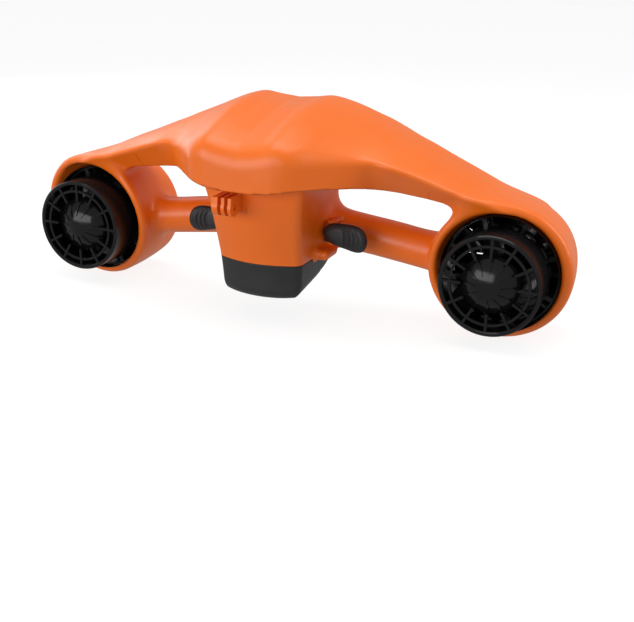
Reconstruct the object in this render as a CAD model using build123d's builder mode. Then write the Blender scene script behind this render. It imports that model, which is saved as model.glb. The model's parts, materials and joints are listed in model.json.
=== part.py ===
"""Underwater scooter: a two-thruster hand-held sea scooter, one STEP file for each piece.

Millimetres, +Z up, the front faces -Y and X = 0 is the plane of symmetry.  Everything is drawn
from a datum midway between the two thruster axes, in the plane of the front guards' rims, and is
moved once, when it is saved, so that the floor is Z = 0.  "Left" is the rider's left, at +X.
"""
from build123d import *
from math import cos, hypot, radians, sin, sqrt, tan
import os

os.makedirs("parts", exist_ok=True)

# ---------------------------------------------------------------- frame and driving dimensions
AXIS_HEIGHT = 57.18         # thruster axes above the floor
DATUM_DEPTH = -20.25        # depth of the guards' rim plane in the saved frame
FRAME = Location((0, DATUM_DEPTH, AXIS_HEIGHT))

HALF_SPAN = 200.0           # centre plane to thruster axis
WALL = 3.0                  # moulded shell wall
SLIP = 0.15                 # gap between separate mouldings
LIFT = 0.35                 # the floor panel is set this far up inside the wing
FLOOR_BOW = 1.3             # extra room where the wing's front curves in past the panel's
RUN = 0.05                  # radial running clearance of shafts and pins

# Thruster, all radii about its own axis
BORE_R = 50.6               # shroud bore behind the lip
LIP_R = 52.5                # shroud opening
SHROUD_R = 60.2             # shroud outside, at the lip
SHROUD_REAR_R = 54.0
SHROUD_FRONT, SHROUD_REAR = 28.0, 98.0
LIP_YAW, LIP_RAKE = 7.0, 7.5
GUARD_R = 43.0              # front guard's rim
GUARD_DEPTH = 46.0
DOME_R = 25.0
RING_R = 33.4
SPOKES = 12
PROP_R = 39.4
PROP_FRONT, PROP_REAR = 14.0, 32.0
BLADES = 3
CAN_R = 22.0                # motor can
CAN_FRONT, CAN_REAR = 38.0, 86.0
SHAFT_R = 3.0
BEARING_R, BEARING_T = 8.0, 5.0
LINER_FRONT, LINER_REAR = 46.0, 95.0

# Pod and battery
PARTING_Z = -2.0            # pod above, battery below
TAB_Z, TAB_Y = 8.0, 34.0    # the battery's raised rear tab
POD_TOP = 74.0
BATTERY_BOTTOM = -34.0
CELL_R, CELL_L, CELL_PITCH = 10.6, 70.0, 21.3
SLEEVE_W, SLEEVE_TOP = 67.6, 53.0
SLEEVE_FRONT, SLEEVE_BACK = -5.0, 43.0

# Hand bars and triggers
BAR_R = 17.0
BAR_Y = 59.0
PADDLE_W, PADDLE_H, PADDLE_T = 43.5, 25.5, 8.5
PADDLE_X, PADDLE_Y, PADDLE_Z = 65.8, 12.0, 20.2
PIVOT_X, PIVOT_Y = 51.5, 26.0
PIN_R = 1.5

# Action-camera mount: three 3 mm prongs, 3.2 mm gaps, 5 mm cross hole
PRONG_T, PRONG_GAP, PRONG_R, PRONG_HOLE = 3.0, 3.2, 7.5, 2.5
PRONG_X, PRONG_Y, PRONG_Z = -12.0, -50.0, 53.0

# Wing stations on the left half: X, then (Y, Z) of the lip, the keel under it, the tail and the
# crest, how far the top swells above the straight line from lip to crest, and how far the brow
# just behind the lip does
WING = [
    (0.0, (-57.0, 89.5), (-57.0, 67.0), (64.0, 72.0), (66.0, 128.5), 9.5, 7.0),
    (18.0, (-57.2, 91.0), (-57.0, 67.5), (64.0, 72.0), (66.0, 130.5), 11.0, 8.0),
    (36.0, (-56.0, 95.0), (-55.0, 70.0), (64.0, 72.0), (66.0, 132.3), 12.0, 8.5),
    (48.0, (-50.0, 96.5), (-48.5, 71.5), (66.0, 72.0), (70.0, 129.0), 10.0, 6.0),
    (60.0, (-36.0, 94.6), (-35.0, 71.0), (68.0, 72.0), (74.0, 124.0), 9.0, 4.0),
    (85.0, (-9.0, 91.7), (-4.6, 68.6), (72.0, 71.0), (80.0, 113.0), 7.0, 2.0),
    (110.0, (-2.5, 87.6), (21.0, 63.0), (73.0, 67.0), (80.0, 102.0), 6.0, 1.5),
    (140.0, (5.4, 77.8), (23.5, 59.5), (72.0, 61.5), (79.0, 89.0), 5.5, 1.3),
    (165.0, (7.6, 69.8), (25.0, 55.5), (71.0, 57.0), (76.0, 79.0), 4.5, 1.0),
    (190.0, (16.0, 63.0), (31.0, 52.0), (70.0, 53.0), (75.0, 67.5), 2.5, 0.6),
    (222.0, (32.0, 54.0), (38.0, 50.0), (68.0, 49.5), (71.0, 53.5), 1.0, 0.3),
]
HOLLOW_END = 148.0          # the wing is hollow out to here
WING_END = 198.0


def save(piece, node):
    """Move a finished piece into the shared frame and write it."""
    solid = piece.part.moved(FRAME)
    solid.label = node
    export_step(solid, f"parts/{node}.step")


def save_pair(piece, node):
    """Save a piece drawn on the left (+X), and its mirror image on the right."""
    left = piece.part.moved(FRAME)
    right = piece.part.mirror(Plane.YZ).moved(FRAME)
    for side, solid in (("left", left), ("right", right)):
        solid.label = f"{node}_{side}"
        export_step(solid, f"parts/{node}_{side}.step")


def save_group(piece, node):
    """Save a piece and its mirror image as one node, for alike pieces of one body."""
    pair = Compound(children=[*piece.part.moved(FRAME).solids(),
                              *piece.part.mirror(Plane.YZ).moved(FRAME).solids()])
    pair.label = node
    export_step(pair, f"parts/{node}.step")


def both_sides(rows):
    """The stations from the right tip, through the centre, to the left tip."""
    mirrored = [(-row[0], *row[1:]) for row in rows[:0:-1]]
    return mirrored + rows


def between(a, b, share):
    """The point that lies `share` of the way from a to b."""
    return tuple(p + (q - p) * share for p, q in zip(a, b))


# ---------------------------------------------------------------- wing
def wing_loft(rows, inset=0.0, drop=0.0):
    """The wing's outside, or with an inset its cavity, which `drop` opens through the floor."""
    with BuildPart() as wing:
        for x, lip, keel, tail, crest, swell, brow in both_sides(rows):
            lip = (lip[0] + 2.2 * inset, lip[1] - 0.3 * inset)
            keel = (keel[0] + 1.5 * inset, keel[1] - drop)
            tail = (tail[0] - 1.2 * inset, tail[1] - drop)
            crest = (crest[0] - 1.2 * inset, crest[1] - 1.2 * inset)
            front = between(lip, crest, 0.06)
            quarter = between(lip, crest, 0.28)
            half = between(lip, crest, 0.62)
            with BuildSketch(Plane.YZ.offset(x)):
                with BuildLine():
                    Line(keel, lip)
                    Spline(lip, (front[0], front[1] + brow),
                           (quarter[0], quarter[1] + 0.95 * swell),
                           (half[0], half[1] + 0.95 * swell), crest)
                    rear = between(crest, tail, 0.45)
                    ThreePointArc(crest, (rear[0] + 2.5, rear[1]), tail)
                    Line(tail, keel)
                make_face()
        loft()
    return wing


def shroud_loft(lip_r, mid_r, rear_r, front_gap=0.0, rear_gap=0.0):
    """A body of round sections: a tilted one at the lip, the others square to the axis."""
    lip = Plane(
        origin=(HALF_SPAN + 1.0, SHROUD_FRONT - front_gap, 3.5),
        x_dir=(1, tan(radians(LIP_YAW)), 0),
        z_dir=(-tan(radians(LIP_YAW)), 1, tan(radians(LIP_RAKE))),
    )
    middle = Plane(origin=(HALF_SPAN + 0.4, 60, 1.5), x_dir=(1, 0, 0), z_dir=(0, 1, 0))
    rear = Plane(origin=(HALF_SPAN, SHROUD_REAR + rear_gap, 0), x_dir=(1, 0, 0), z_dir=(0, 1, 0))
    with BuildPart() as body:
        for plane, radius in ((lip, lip_r), (middle, mid_r), (rear, rear_r)):
            with BuildSketch(plane):
                Circle(radius)
        loft()
    return body


def axis_plane(y, x=HALF_SPAN, z=0.0):
    """A plane square to a left-hand axis at depth y, facing the rear."""
    return Plane(origin=(x, y, z), x_dir=(1, 0, 0), z_dir=(0, 1, 0))


wing_outer = wing_loft(WING)
with BuildPart() as wing_hollow:
    add(wing_loft(WING[:-1], inset=WALL, drop=8.0).part)
    with Locations((0, 20, 90)):
        Box(2 * HOLLOW_END, 200, 120, mode=Mode.INTERSECT)
shroud_outer = shroud_loft(SHROUD_R, 58.6, SHROUD_REAR_R)
shroud_both = [shroud_outer.part, shroud_outer.part.mirror(Plane.YZ)]

def floor_z(x, y):
    """Height of the floor panel's underside."""
    rows = sorted(WING, key=lambda row: row[0])
    for near, far in zip(rows, rows[1:]):
        if near[0] <= abs(x) <= far[0]:
            share = (abs(x) - near[0]) / (far[0] - near[0])
            keel, tail = between(near[2], far[2], share), between(near[3], far[3], share)
            return between(keel, tail, (y - keel[0]) / (tail[0] - keel[0]))[1]


SCREW_R, HEAD_R = 1.25, 2.6
FLOOR_SCREWS = [(side * x, y) for side in (-1, 1) for x, y in ((54, 42), (94, 58), (128, 40))]
BOARD_Z, CABLE_Y = 84.0, 51.0
BOARD_POSTS = [(x, y) for x in (-38, 38) for y in (2, 38)]
BUTTON_Z, BUTTON_R, BEZEL_R = 101.0, 8.0, 12.0
rear_axis = Plane(origin=(0, 40, BUTTON_Z), x_dir=(1, 0, 0), z_dir=(0, 1, 0))
LED_Z, LED_W, LED_H = 82.5, 22.0, 6.0

with BuildPart() as shell_upper:
    add(wing_outer.part)
    add(wing_hollow.part, mode=Mode.SUBTRACT)
    # screw bosses run from the floor panel up into the roof
    with BuildPart():
        for x, y in FLOOR_SCREWS:
            with Locations((x, y, floor_z(x, y) + WALL + 1.8 + 35)):
                Cylinder(4, 70)
        add(wing_outer.part, mode=Mode.INTERSECT)
    for x, y in FLOOR_SCREWS:
        with Locations((x, y, floor_z(x, y) + 10)):
            Cylinder(SCREW_R, 14, mode=Mode.SUBTRACT)
    for shroud_side in shroud_both:
        add(shroud_side, mode=Mode.SUBTRACT)
    with BuildSketch(rear_axis):
        Circle(BEZEL_R)
        with Locations((0, BUTTON_Z - LED_Z)):
            SlotOverall(LED_W, LED_H)
    extrude(amount=60, mode=Mode.SUBTRACT)
    with Locations((0, 20, 90)):        # the wing ends on the crowns of the shrouds
        Box(2 * WING_END, 220, 160, mode=Mode.INTERSECT)
save(shell_upper, "shell_upper")


with BuildPart() as shell_floor:
    for x, lip, keel, tail, crest, swell, brow in both_sides(WING[:-1]):
        low = (keel[0] + 1.5 * WALL, keel[1] - 8.0)
        high = (lip[0] + 2.2 * WALL, lip[1] - 0.3 * WALL)
        rise = high[1] - low[1]
        room = SLIP + (FLOOR_BOW if 50 < abs(x) < 120 else 0.3)
        front_low = between(low, high, 8.0 / rise)[0] + room
        front_high = between(low, high, (8.0 + WALL) / rise)[0] + room
        back = tail[0] - 1.2 * WALL - SLIP
        with BuildSketch(Plane.YZ.offset(x)):
            with BuildLine():
                Polyline((front_low, keel[1] + LIFT), (back, tail[1] + LIFT),
                         (back, tail[1] + WALL), (front_high, keel[1] + WALL), close=True)
            make_face()
    loft(ruled=True)
    with Locations((0, 20, 90)):
        Box(2 * HOLLOW_END - 2 * SLIP, 200, 120, mode=Mode.INTERSECT)
    with Locations((0, CABLE_Y, 66)):
        Box(56, 8, 40, mode=Mode.SUBTRACT)
    # moulded posts carry the control board, and countersunk holes take the floor screws
    for x, y in BOARD_POSTS:
        with Locations((x, y, (floor_z(x, y) + 1.5 + BOARD_Z) / 2)):
            Cylinder(3, BOARD_Z - floor_z(x, y) - 1.5)
    with Locations(*[(x, y, BOARD_Z) for x, y in BOARD_POSTS]):
        Cylinder(SCREW_R, 16, mode=Mode.SUBTRACT)
    for x, y in FLOOR_SCREWS:
        with Locations((x, y, floor_z(x, y))):
            Cylinder(SCREW_R + 0.2, 20, mode=Mode.SUBTRACT)
            Cylinder(HEAD_R + 0.2, 3.2, mode=Mode.SUBTRACT)
save(shell_floor, "shell_floor")


# ---------------------------------------------------------------- pod and battery outside
def pod_loft(inset=0.0):
    """The pod and the battery as one tapered body: Z, half width, front corner, bulge, rear."""
    levels = [(-42, 36.0, -12.0, 10, 60), (PARTING_Z, 39.2, -14, 11, 61),
              (30, 41.0, -22, 11, 61), (62, 44.5, -28, 7.5, 61), (POD_TOP, 45.5, -30, 6, 61)]
    with BuildPart() as pod:
        for z, half, front, bulge, rear in levels:
            half, front, rear = half - inset, front + inset, rear - inset
            with BuildSketch(Plane.XY.offset(z)):
                with BuildLine():
                    ThreePointArc((-half, front), (0, front - bulge), (half, front))
                    Polyline((half, front), (half, rear), (-half, rear), (-half, front))
                make_face()
                fillet(vertices(), 9 - inset / 2)
        loft()
    return pod


def battery_side(inset=0.0):
    """The battery's outline from the side: a sloping base, a rear chamfer and the raised tab."""
    top = inset
    with BuildPart() as side:
        with BuildSketch(Plane.YZ):
            with BuildLine():
                Polyline((-40, PARTING_Z - top), (-40, BATTERY_BOTTOM - 1.5 + inset),
                         (-14, BATTERY_BOTTOM + inset), (44, BATTERY_BOTTOM + 10 + inset),
                         (64 - inset, -12 + inset), (64 - inset, TAB_Z - top),
                         (TAB_Y + inset, TAB_Z - top), (TAB_Y - 4 + inset, PARTING_Z - top),
                         close=True)
            make_face()
        extrude(amount=60, both=True)
    return side


pod_outer = pod_loft()
pod_inner = pod_loft(inset=WALL)
battery_outline = battery_side()
sleeve_y = (SLEEVE_FRONT + SLEEVE_BACK) / 2
sleeve_d = SLEEVE_BACK - SLEEVE_FRONT
LINER_WALL, LINER_GAP, LINER_TOP, SEAL_T = 1.5, 0.4, 60.0, 1.3
liner_w = SLEEVE_W + 2 * (LINER_GAP + LINER_WALL)
liner_d = sleeve_d + 2 * (LINER_GAP + LINER_WALL)
HATCH_Y, HATCH_Z = 50.0, -1.0       # latch buttons in the battery's tab
HATCH_W, HATCH_H = 7.0, 6.0
CELLS_Z = SLEEVE_TOP - 5 - CELL_L / 2


def bar_loft():
    """A hand bar, swelling into the pod at its inner end."""
    rings = [(36, 43, 22.0, 18.0), (52, 50.5, 18.0, 17.4), (68, 56, 14.5, BAR_R),
             (100, BAR_Y, 9.8, BAR_R), (130, BAR_Y, 5.8, BAR_R), (150, BAR_Y, 4.0, BAR_R + 1.2)]
    with BuildPart() as bar:
        for x, y, z, radius in rings:
            with BuildSketch(Plane(origin=(x, y, z), x_dir=(0, 1, 0), z_dir=(1, 0, 0))):
                Circle(radius)
        loft()
    return bar


def bar_core():
    """The cable way through a hand bar, from the pod's inside to the thruster's."""
    with BuildPart() as core:
        for x, y, z in ((30, 46, 20), (68, 56, 14.5), (100, BAR_Y, 9.8), (152, BAR_Y, 4)):
            with BuildSketch(Plane(origin=(x, y, z), x_dir=(0, 1, 0), z_dir=(1, 0, 0))):
                Circle(8)
        loft(ruled=True)
    return core


bar_outer, bar_hollow = bar_loft(), bar_core()

with BuildPart() as pod_housing:
    add(pod_outer.part)
    add(pod_inner.part, mode=Mode.SUBTRACT)
    add(battery_outline.part, mode=Mode.SUBTRACT)
    with Locations((0, 20, -60 + PARTING_Z)):
        Box(120, 140, 120, mode=Mode.SUBTRACT)
    add(wing_outer.part, mode=Mode.SUBTRACT)
    for core in (bar_hollow.part, bar_hollow.part.mirror(Plane.YZ)):
        add(core, mode=Mode.SUBTRACT)
save(pod_housing, "pod_housing")

with BuildPart() as hand_bar:
    add(bar_outer.part)
    add(pod_outer.part, mode=Mode.SUBTRACT)
    add(shroud_outer.part, mode=Mode.SUBTRACT)
    add(bar_hollow.part, mode=Mode.SUBTRACT)
    # two lugs carry the trigger's pin, and the bar is relieved behind the trigger's barrel
    with Locations((PIVOT_X, PIVOT_Y, PADDLE_Z)):
        Cylinder(7.5, 16, mode=Mode.SUBTRACT)
    for z in (PADDLE_Z - 9.5, PADDLE_Z + 9.5):
        with BuildSketch(Plane.XY.offset(z - 1.5)):
            with Locations((PIVOT_X, PIVOT_Y + 10)):
                Rectangle(9, 20)
            with Locations((PIVOT_X, PIVOT_Y)):
                Circle(4.5)
        extrude(amount=3)
    with Locations((PIVOT_X, PIVOT_Y, PADDLE_Z)):
        Cylinder(PIN_R, 30, mode=Mode.SUBTRACT)
    add(bar_hollow.part, mode=Mode.SUBTRACT)
    add(pod_outer.part, mode=Mode.SUBTRACT)
save_pair(hand_bar, "hand_bar")

with BuildPart() as battery_cap:
    add(pod_outer.part)
    add(battery_outline.part, mode=Mode.INTERSECT)
    with BuildPart(mode=Mode.SUBTRACT):
        add(pod_inner.part)
        add(battery_side(inset=WALL).part, mode=Mode.INTERSECT)
    with Locations((0, sleeve_y, PARTING_Z)):
        Box(SLEEVE_W + 2 * SLIP, sleeve_d + 2 * SLIP, 12, mode=Mode.SUBTRACT)
    with Locations((0, sleeve_y, PARTING_Z + 10)):
        Box(liner_w + 0.6, liner_d + 0.6, 20, mode=Mode.SUBTRACT)
    with Locations((0, HATCH_Y, HATCH_Z)):
        Box(120, HATCH_W + 0.4, HATCH_H + 0.4, mode=Mode.SUBTRACT)
    for side in (-1, 1):        # a moulded vent slit low on each flank
        with Locations((side * 39.5, 37, -20)):
            Box(5, 15, 1.6, mode=Mode.SUBTRACT)
    with Locations((0, sleeve_y, CELLS_Z)):     # cradles under the cells
        with GridLocations(CELL_PITCH, CELL_PITCH, 3, 2):
            Cylinder(CELL_R + 0.3, CELL_L + 0.6, mode=Mode.SUBTRACT)
save(battery_cap, "battery_cap")


# ---------------------------------------------------------------- inside the pod: the battery
with BuildPart() as battery_sleeve:
    with Locations((0, sleeve_y, (SLEEVE_TOP + PARTING_Z - 6) / 2)):
        Box(SLEEVE_W, sleeve_d, SLEEVE_TOP - PARTING_Z + 6)
    fillet(battery_sleeve.edges().filter_by(Axis.Z), 3)
    with Locations((0, sleeve_y, SLEEVE_TOP / 2 - 30)):
        Box(SLEEVE_W - 3.6, sleeve_d - 3.6, SLEEVE_TOP + 56, mode=Mode.SUBTRACT)
save(battery_sleeve, "battery_sleeve")

with BuildPart() as battery_cells:
    with Locations((0, sleeve_y, CELLS_Z)):
        with GridLocations(CELL_PITCH, CELL_PITCH, 3, 2):
            Cylinder(CELL_R, CELL_L)
save(battery_cells, "battery_cells")

with BuildPart() as battery_board:
    with Locations((0, sleeve_y, SLEEVE_TOP - 3.6)):
        Box(58, 38, 1.2)
    with Locations((-16, sleeve_y, SLEEVE_TOP - 4.45), (14, sleeve_y + 8, SLEEVE_TOP - 4.45)):
        Box(9, 7, 0.6)
save(battery_board, "battery_board")

contact_spots = [(x, sleeve_y) for x in (-15, -5, 5, 15)]
with BuildPart() as battery_contacts:
    with Locations(*[(x, y, SLEEVE_TOP + 1.2) for x, y in contact_spots]):
        Cylinder(2.4, 2.4)
    fillet(battery_contacts.edges().group_by(Axis.Z)[-1], 0.6)
save(battery_contacts, "battery_contacts")

with BuildPart() as battery_seal:
    with BuildSketch(Plane.XY.offset(PARTING_Z + 0.05)):
        with Locations((0, sleeve_y)):
            RectangleRounded(SLEEVE_W + 3.4, sleeve_d + 3.4, 4)
            RectangleRounded(SLEEVE_W + 0.2, sleeve_d + 0.2, 3, mode=Mode.SUBTRACT)
    extrude(amount=SEAL_T)
save(battery_seal, "battery_seal")

bay_foot = PARTING_Z + SEAL_T + 0.1
with BuildPart() as battery_bay:
    with Locations((0, sleeve_y, (LINER_TOP + bay_foot) / 2)):
        Box(liner_w, liner_d, LINER_TOP - bay_foot)
    fillet(battery_bay.edges().filter_by(Axis.Z), 4)
    with Locations((0, sleeve_y, (LINER_TOP - 4 + PARTING_Z) / 2 - 5)):
        Box(SLEEVE_W + 2 * LINER_GAP, sleeve_d + 2 * LINER_GAP, LINER_TOP - 4 - PARTING_Z + 10,
            mode=Mode.SUBTRACT)
    with Locations(*[(x, y, LINER_TOP - 2) for x, y in contact_spots]):
        Cylinder(2.6, 10, mode=Mode.SUBTRACT)
    add(wing_outer.part, mode=Mode.SUBTRACT)
save(battery_bay, "battery_bay")

with BuildPart() as bay_contacts:
    for x, y in contact_spots:
        with Locations((x, y, (LINER_TOP + SLEEVE_TOP + 2.5) / 2)):
            Cylinder(2.5, LINER_TOP - SLEEVE_TOP - 2.5)
save(bay_contacts, "bay_contacts")

# latch buttons at both ends of a frame in the battery's tab, pushed apart by springs
LATCH_TRAVEL = 2.5
with BuildPart() as latch_button:
    with Locations((37.3, HATCH_Y, HATCH_Z)):
        Box(6.6, HATCH_W, HATCH_H)
    fillet(latch_button.faces().sort_by(Axis.X)[-1].edges(), 0.8)
    with Locations((34.4, HATCH_Y, HATCH_Z)):
        Box(0.8, HATCH_W + 1.6, HATCH_H)
save_pair(latch_button, "latch_button")

with BuildPart() as latch_frame:
    with Locations((0, HATCH_Y, HATCH_Z)):
        Box(48, HATCH_W - 0.6, 5.0)
        Box(30, 3, 5.0, mode=Mode.SUBTRACT)
save(latch_frame, "latch_frame")


def coil(start, direction, length, radius, wire, turns):
    """A compression spring: a round wire wound from start along a direction."""
    first = tuple(s + d * wire for s, d in zip(start, direction))
    with BuildPart() as spring:
        with BuildLine() as path:
            Helix(pitch=(length - 2 * wire) / turns, height=length - 2 * wire, radius=radius,
                  center=first, direction=direction)
        with BuildSketch(Plane(origin=path.line @ 0, z_dir=path.line % 0)):
            Circle(wire)
        sweep(is_frenet=True)
    return spring


latch_spring = coil((24.35, HATCH_Y, HATCH_Z), (1, 0, 0), 9.4, 1.9, 0.25, 7)
save_group(latch_spring, "latch_springs")


# ---------------------------------------------------------------- thruster, drawn on its axis
def ring(y_front, y_back, r_in, r_out):
    """A plain ring about the left thruster's axis."""
    with BuildPart() as body:
        with BuildSketch(axis_plane(y_front)):
            Circle(r_out)
            if r_in:
                Circle(r_in, mode=Mode.SUBTRACT)
        extrude(amount=y_back - y_front)
    return body


def turned(points, x=HALF_SPAN, z=0.0):
    """A closed (radius, depth) outline turned about an axis along Y."""
    with BuildPart() as body:
        with BuildSketch(Plane(origin=(x, 0, z), x_dir=(1, 0, 0), z_dir=(0, 0, 1))):
            with BuildLine():
                Polyline(*points, close=True)
            make_face()
        revolve(axis=Axis((x, 0, z), (0, 1, 0)))
    return body


with BuildPart() as shroud:
    add(shroud_outer.part)
    add(shroud_loft(LIP_R, BORE_R, BORE_R, front_gap=0.5, rear_gap=1.0).part,
        mode=Mode.SUBTRACT)
    add(ring(42, SHROUD_REAR + 1, 0, BORE_R).part, mode=Mode.SUBTRACT)
    lip_edges = shroud.edges().filter_by(lambda e: e.center().Y < 36 and e.length > 250)
    fillet(lip_edges, 3.2)
    add(bar_hollow.part, mode=Mode.SUBTRACT)
save_pair(shroud, "shroud")

# the front guard: rim, skirt and foot, with a grille of pointed spokes on a dome
RIM_DEPTH, SKIRT_T, WINDOWS, ARMS = 6.0, 1.8, 16, 8
DOME_PEAK, DOME_BASE = -3.0, 8.0
dome_ball = (DOME_R ** 2 + (DOME_BASE - DOME_PEAK) ** 2) / (2 * (DOME_BASE - DOME_PEAK))
with BuildPart() as guard_front:
    add(turned([(GUARD_R - 3.8, 1), (GUARD_R - 2.8, 0), (GUARD_R - 1, 0), (GUARD_R, 1),
                (GUARD_R, GUARD_DEPTH - SLIP), (GUARD_R - SKIRT_T, GUARD_DEPTH - SLIP),
                (GUARD_R - SKIRT_T, RIM_DEPTH), (GUARD_R - 3.8, RIM_DEPTH - 1)]).part)
    add(ring(GUARD_DEPTH - 3, GUARD_DEPTH - SLIP, BORE_R - 2.4, BORE_R - SLIP).part)
    with Locations(axis_plane(GUARD_DEPTH - 1.5 - SLIP / 2).location):
        with PolarLocations((GUARD_R + BORE_R) / 2 - 1, ARMS, start_angle=22.5):
            Box(BORE_R - GUARD_R - 0.6, 4, 3 - SLIP)
    with Locations(axis_plane(GUARD_DEPTH - 11).location):
        with PolarLocations(GUARD_R, WINDOWS, start_angle=360 / WINDOWS / 2):
            Box(8, 9, 8, mode=Mode.SUBTRACT)
    # the dome is a shell cut from two balls
    with BuildPart():
        with Locations((HALF_SPAN, DOME_PEAK + dome_ball, 0)):
            Sphere(dome_ball)
            Sphere(dome_ball - 2, mode=Mode.SUBTRACT)
        with Locations((HALF_SPAN, DOME_PEAK + (DOME_BASE - DOME_PEAK) / 2, 0)):
            Box(120, DOME_BASE - DOME_PEAK, 120, mode=Mode.INTERSECT)
    add(ring(1.2, 3.6, RING_R - 1.1, RING_R + 1.1).part)
    with Locations(axis_plane(2.4).location):
        with PolarLocations((DOME_R + GUARD_R) / 2 - 1.6, SPOKES):
            Box(GUARD_R - DOME_R - 0.6, 2.2, 3.4)
    # each spoke runs on over the dome as a rib that ends in a point
    with BuildPart():
        with BuildSketch(axis_plane(DOME_PEAK - 0.9)):
            with PolarLocations(0, SPOKES):
                Polygon((10, 0), (16, 1.1), (DOME_R + 1, 1.1), (DOME_R + 1, -1.1), (16, -1.1),
                        align=None)
        extrude(amount=7)
        with Locations((HALF_SPAN, DOME_PEAK + dome_ball, 0)):
            Sphere(dome_ball + 0.9, mode=Mode.INTERSECT)
            Sphere(dome_ball - 1, mode=Mode.SUBTRACT)
save_pair(guard_front, "guard_front")

with BuildPart() as propeller:
    add(turned([(SHAFT_R, PROP_FRONT), (9.5, PROP_FRONT), (11, PROP_FRONT + 2),
                (11.5, PROP_REAR + 2), (SHAFT_R, PROP_REAR + 2)]).part)
    for blade in range(BLADES):
        with BuildPart() as one:
            for radius, chord, thick in ((9, 17, 4.2), (20, 22, 3.2), (31, 24, 2.4),
                                         (PROP_R + 1.5, 15, 1.6)):
                twist = radians(38 + 1.05 * radius)
                section = Plane(
                    origin=(HALF_SPAN + radius, (PROP_FRONT + PROP_REAR) / 2 + 0.5, 0),
                    x_dir=(0, cos(twist), sin(twist)), z_dir=(1, 0, 0))
                with BuildSketch(section):
                    Ellipse(chord / 2, thick / 2)
            loft()
        add(one.part.rotate(Axis((HALF_SPAN, 0, 0), (0, 1, 0)), blade * 360 / BLADES + 20),
            mode=Mode.ADD)
    add(ring(0, 60, 0, PROP_R).part, mode=Mode.INTERSECT)
    add(ring(0, 60, 0, SHAFT_R).part, mode=Mode.SUBTRACT)
save_pair(propeller, "propeller")

with BuildPart() as prop_nut:
    add(turned([(SHAFT_R, 8), (5, 8), (7.5, 10), (9.2, PROP_FRONT), (SHAFT_R, PROP_FRONT)]).part)
    with Locations(axis_plane(9).location):
        with PolarLocations(8.6, 6):
            Box(3, 2, 3, mode=Mode.SUBTRACT)
save_pair(prop_nut, "prop_nut")

# motor: can and cap, windings, rotor and shaft on two bearings
with BuildPart() as motor_housing:
    add(turned([(19.8, 43), (CAN_R, 43), (CAN_R, 80), (17, 90), (8, 94.6), (0, 95), (0, 83),
                (3.4, 83), (3.4, 81), (BEARING_R, 81), (BEARING_R, 76), (19.8, 76)]).part)
    add(ring(LINER_FRONT, LINER_REAR, BORE_R - 2.4, BORE_R - SLIP).part)
    with Locations(axis_plane(67).location):
        with PolarLocations((CAN_R + BORE_R - 2) / 2 - 0.4, 5, start_angle=36):
            Box(BORE_R - CAN_R - 1.4, 2.4, 32)
save_pair(motor_housing, "motor_housing")

with BuildPart() as motor_cap:
    add(turned([(6, CAN_FRONT), (18, CAN_FRONT), (CAN_R, 41), (CAN_R, 43), (19.7, 43),
                (19.7, 47), (17.5, 47), (17.5, 45), (BEARING_R, 45), (BEARING_R, 40),
                (6, 40)]).part)
    with Locations(axis_plane(CAN_FRONT + 1).location):
        with PolarLocations(13, 4, start_angle=45):
            Cylinder(SCREW_R, 20, mode=Mode.SUBTRACT)
save_group(motor_cap, "motor_caps")

save_group(ring(38.1, 39.9, SHAFT_R + RUN, 6), "shaft_seals")

with BuildPart() as motor_bearings:
    for y in (40.02, 76.02):
        add(ring(y, y + BEARING_T - 0.04, SHAFT_R + RUN, BEARING_R).part)
    for y in (40.02, 76.02):
        for face in (y, y + BEARING_T - 0.64):
            add(ring(face, face + 0.6, 5.0, 6.4).part, mode=Mode.SUBTRACT)
save_group(motor_bearings, "motor_bearings")

TEETH, STACK_FRONT, STACK_REAR = 9, 51.0, 71.0
with BuildPart() as motor_stator:
    add(ring(STACK_FRONT, STACK_REAR, 17.4, 19.75).part)
    with Locations(axis_plane((STACK_FRONT + STACK_REAR) / 2).location):
        with PolarLocations(14.6, TEETH):
            Box(6.4, 2.6, STACK_REAR - STACK_FRONT)
        with PolarLocations(11.9, TEETH):
            Box(1.0, 5.6, STACK_REAR - STACK_FRONT)
save_group(motor_stator, "motor_stators")

with BuildPart() as motor_windings:
    with Locations(axis_plane((STACK_FRONT + STACK_REAR) / 2).location):
        with PolarLocations(14.6, TEETH):
            Box(4.2, 5.0, STACK_REAR - STACK_FRONT + 4)
        with PolarLocations(14.6, TEETH):
            Box(6.0, 2.7, STACK_REAR - STACK_FRONT + 0.1, mode=Mode.SUBTRACT)
save_group(motor_windings, "motor_windings")

with BuildPart() as motor_rotor:
    add(ring(STACK_FRONT - 1, STACK_REAR + 1, SHAFT_R, 10.8).part)
    with Locations(axis_plane((STACK_FRONT + STACK_REAR) / 2).location):
        with PolarLocations(10.9, 6):
            Box(0.9, 1.0, 30, mode=Mode.SUBTRACT)
save_pair(motor_rotor, "motor_rotor")

with BuildPart() as shaft:
    add(ring(9.5, 82.5, 0, SHAFT_R).part)
    chamfer(shaft.edges().filter_by(GeomType.CIRCLE), 0.5)
save_pair(shaft, "shaft")

with BuildPart() as guard_rear:
    add(ring(LINER_REAR + 0.1, SHROUD_REAR - 0.3, BORE_R - 2.8, BORE_R - SLIP).part)
    for radius in (36.0, 24.5):
        add(ring(LINER_REAR + 0.6, SHROUD_REAR - 0.8, radius - 1, radius + 1).part)
    add(ring(LINER_REAR + 0.4, SHROUD_REAR - 0.3, 9, 13).part)
    with Locations(axis_plane((LINER_REAR + SHROUD_REAR) / 2 - 0.1).location):
        with PolarLocations(30.5, 10, start_angle=18):
            Box(37, 1.8, 2)
save_pair(guard_rear, "guard_rear")

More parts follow.
